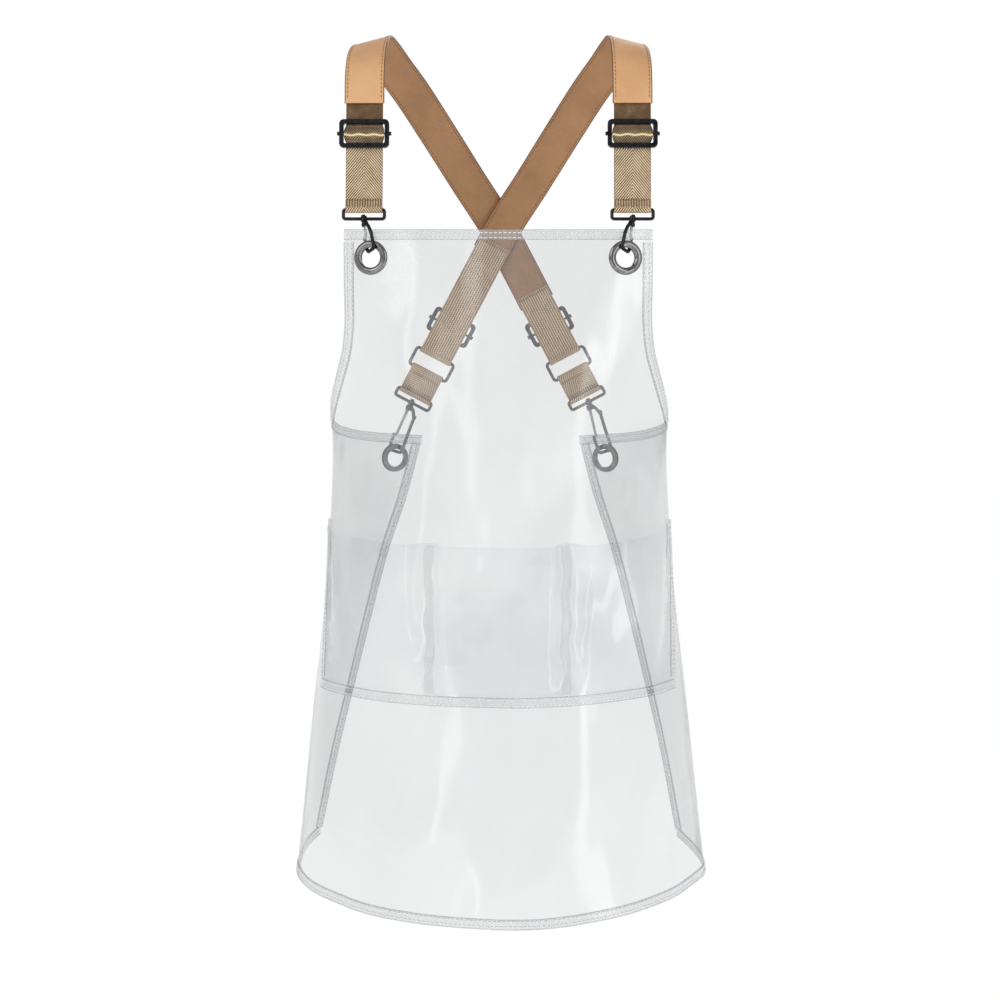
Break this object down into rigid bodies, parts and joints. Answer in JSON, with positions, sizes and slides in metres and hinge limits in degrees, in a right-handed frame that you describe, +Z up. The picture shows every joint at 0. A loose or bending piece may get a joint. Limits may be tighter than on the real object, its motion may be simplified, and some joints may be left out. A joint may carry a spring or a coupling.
{
  "type": "salon apron",
  "caption": "Clear wrap-around salon apron with bound edges, front pocket sheet and straps that cross behind and clip to metal eyelets.",
  "frame": {"origin": "midway between the two places where the straps rest on the shoulders", "axes": "+Z up, +Y towards the wearer's back, +X to the right as seen from the front"},
  "size_m": [0.4434, 0.3126, 0.895],
  "materials": {
    "clear_pvc": "glossy clear vinyl sheet",
    "pocket_pvc": "glossy clear vinyl sheet",
    "pvc_binding": "translucent stitched tape",
    "eyelet_metal": "polished",
    "leather_tan": "smooth, edge stitched",
    "webbing_khaki": "herringbone weave",
    "black_metal": "gloss black plated",
    "gate_metal": "gloss black plated"
  },
  "bodies": {
    "apron": {"apron_panel": "clear_pvc", "pocket_side_binding_left": "pvc_binding", "pocket_side_binding_right": "pvc_binding", "pocket_sheet": "pocket_pvc", "pocket_bottom_binding": "pvc_binding", "bib_top_binding": "pvc_binding", "hem_binding": "pvc_binding", "armhole_binding_left": "pvc_binding", "flap_binding_left": "pvc_binding", "eyelet_front_left": "eyelet_metal", "eyelet_washer_front_left": "eyelet_metal", "eyelet_rear_left": "eyelet_metal", "eyelet_washer_rear_left": "eyelet_metal", "leather_strap_left": "leather_tan", "armhole_binding_right": "pvc_binding", "flap_binding_right": "pvc_binding", "eyelet_front_right": "eyelet_metal", "eyelet_washer_front_right": "eyelet_metal", "eyelet_rear_right": "eyelet_metal", "eyelet_washer_rear_right": "eyelet_metal", "leather_strap_right": "leather_tan", "webbing_front_left": "webbing_khaki", "webbing_front_right": "webbing_khaki", "webbing_rear_left": "webbing_khaki", "webbing_rear_right": "webbing_khaki"},
    "slider_front_left": {"slider_frame_front_left": "black_metal"},
    "bar_front_left": {"slider_bar_front_left": "black_metal", "slider_fold_front_left": "webbing_khaki"},
    "loop_front_left": {"strap_loop_front_left": "black_metal"},
    "hook_front_left": {"snap_hook_front_left": "black_metal", "gate_rivet_front_left": "black_metal"},
    "gate_front_left": {"gate_front_left": "gate_metal"},
    "slider_front_right": {"slider_frame_front_right": "black_metal"},
    "bar_front_right": {"slider_bar_front_right": "black_metal", "slider_fold_front_right": "webbing_khaki"},
    "loop_front_right": {"strap_loop_front_right": "black_metal"},
    "hook_front_right": {"snap_hook_front_right": "black_metal", "gate_rivet_front_right": "black_metal"},
    "gate_front_right": {"gate_front_right": "gate_metal"},
    "slider_rear_left": {"slider_frame_rear_left": "black_metal"},
    "bar_rear_left": {"slider_bar_rear_left": "black_metal", "slider_fold_rear_left": "webbing_khaki"},
    "ring_rear_left": {"strap_ring_rear_left": "black_metal", "tab_rear_left": "webbing_khaki"},
    "loop_rear_left": {"strap_loop_rear_left": "black_metal"},
    "hook_rear_left": {"snap_hook_rear_left": "black_metal", "gate_rivet_rear_left": "black_metal"},
    "gate_rear_left": {"gate_rear_left": "gate_metal"},
    "slider_rear_right": {"slider_frame_rear_right": "black_metal"},
    "bar_rear_right": {"slider_bar_rear_right": "black_metal", "slider_fold_rear_right": "webbing_khaki"},
    "ring_rear_right": {"strap_ring_rear_right": "black_metal", "tab_rear_right": "webbing_khaki"},
    "loop_rear_right": {"strap_loop_rear_right": "black_metal"},
    "hook_rear_right": {"snap_hook_rear_right": "black_metal", "gate_rivet_rear_right": "black_metal"},
    "gate_rear_right": {"gate_rear_right": "gate_metal"}
  },
  "joints": [
    {"name": "slider_slide_front_left", "type": "slide", "parent": "apron", "child": "slider_front_left", "axis": [0, 0.1985, 0.9801], "range_m": [-0.045, 0.012]},
    {"name": "bar_play_front_left", "type": "slide", "parent": "slider_front_left", "child": "bar_front_left", "axis": [0, 0.1985, 0.9801], "range_m": [-0.0011, 0.0011]},
    {"name": "loop_tilt_front_left", "type": "hinge", "parent": "apron", "child": "loop_front_left", "pos_m": [-0.1344, -0.09578, -0.17175], "axis": [1, 0, 0], "range_deg": [-1, 0.3]},
    {"name": "hook_swivel_front_left", "type": "hinge", "parent": "loop_front_left", "child": "hook_front_left", "pos_m": [-0.1344, -0.09765, -0.18096], "axis": [-0.224, 0.2309, 0.9469], "range_deg": [-4, 1.2]},
    {"name": "gate_hinge_front_left", "type": "hinge", "parent": "hook_front_left", "child": "gate_front_left", "pos_m": [-0.13366, -0.09804, -0.18692], "axis": [-0.844, -0.5317, -0.07], "range_deg": [0, 5], "stiffness_Nm_per_rad": 0.002, "springref_deg": -20.05},
    {"name": "slider_slide_front_right", "type": "slide", "parent": "apron", "child": "slider_front_right", "axis": [0, 0.1985, 0.9801], "range_m": [-0.045, 0.012]},
    {"name": "bar_play_front_right", "type": "slide", "parent": "slider_front_right", "child": "bar_front_right", "axis": [0, 0.1985, 0.9801], "range_m": [-0.0011, 0.0011]},
    {"name": "loop_tilt_front_right", "type": "hinge", "parent": "apron", "child": "loop_front_right", "pos_m": [0.1344, -0.09578, -0.17175], "axis": [1, 0, 0], "range_deg": [-1, 0.3]},
    {"name": "hook_swivel_front_right", "type": "hinge", "parent": "loop_front_right", "child": "hook_front_right", "pos_m": [0.1344, -0.09765, -0.18096], "axis": [0.224, 0.2309, 0.9469], "range_deg": [-1.2, 4]},
    {"name": "gate_hinge_front_right", "type": "hinge", "parent": "hook_front_right", "child": "gate_front_right", "pos_m": [0.13366, -0.09804, -0.18692], "axis": [-0.844, 0.5317, 0.07], "range_deg": [0, 5], "stiffness_Nm_per_rad": 0.002, "springref_deg": -20.05},
    {"name": "slider_slide_rear_left", "type": "slide", "parent": "apron", "child": "slider_rear_left", "axis": [0.4611, 0.1634, 0.8722], "range_m": [-0.008, 0.035]},
    {"name": "bar_play_rear_left", "type": "slide", "parent": "slider_rear_left", "child": "bar_rear_left", "axis": [0.4611, 0.1634, 0.8722], "range_m": [-0.0011, 0.0011]},
    {"name": "ring_tilt_rear_left", "type": "hinge", "parent": "apron", "child": "ring_rear_left", "pos_m": [-0.07143, 0.07501, -0.33011], "axis": [0.884, 0.0001, -0.4674], "range_deg": [-0.3, 0.3]},
    {"name": "loop_tilt_rear_left", "type": "hinge", "parent": "ring_rear_left", "child": "loop_rear_left", "pos_m": [-0.09412, 0.06698, -0.37302], "axis": [0.884, 0.0001, -0.4674], "range_deg": [-0.3, 0.5]},
    {"name": "hook_swivel_rear_left", "type": "hinge", "parent": "loop_rear_left", "child": "hook_rear_left", "pos_m": [-0.09846, 0.06544, -0.38121], "axis": [0.3183, 0.1846, 0.9298], "range_deg": [-3, 3]},
    {"name": "gate_hinge_rear_left", "type": "hinge", "parent": "hook_rear_left", "child": "gate_rear_left", "pos_m": [-0.10213, 0.06494, -0.38782], "axis": [-0.474, -0.8185, 0.3248], "range_deg": [0, 1.2], "stiffness_Nm_per_rad": 0.002, "springref_deg": -20.05},
    {"name": "slider_slide_rear_right", "type": "slide", "parent": "apron", "child": "slider_rear_right", "axis": [-0.4583, 0.1963, 0.8668], "range_m": [-0.008, 0.012]},
    {"name": "bar_play_rear_right", "type": "slide", "parent": "slider_rear_right", "child": "bar_rear_right", "axis": [-0.4583, 0.1963, 0.8668], "range_m": [-0.0011, 0.0011]},
    {"name": "ring_tilt_rear_right", "type": "hinge", "parent": "apron", "child": "ring_rear_right", "pos_m": [0.07097, 0.07672, -0.32923], "axis": [0.884, -0.0001, 0.4674], "range_deg": [-0.3, 0.3]},
    {"name": "loop_tilt_rear_right", "type": "hinge", "parent": "ring_rear_right", "child": "loop_rear_right", "pos_m": [0.09352, 0.06706, -0.37188], "axis": [0.884, -0.0001, 0.4674], "range_deg": [-0.3, 0.5]},
    {"name": "hook_swivel_rear_right", "type": "hinge", "parent": "loop_rear_right", "child": "hook_rear_right", "pos_m": [0.09783, 0.06522, -0.38003], "axis": [-0.3222, 0.1767, 0.93], "range_deg": [-3, 3]},
    {"name": "gate_hinge_rear_right", "type": "hinge", "parent": "hook_rear_right", "child": "gate_rear_right", "pos_m": [0.0989, 0.06304, -0.3872], "axis": [0.4733, -0.8207, 0.32], "range_deg": [0, 1.2], "stiffness_Nm_per_rad": 0.002, "springref_deg": -20.05}
  ]
}
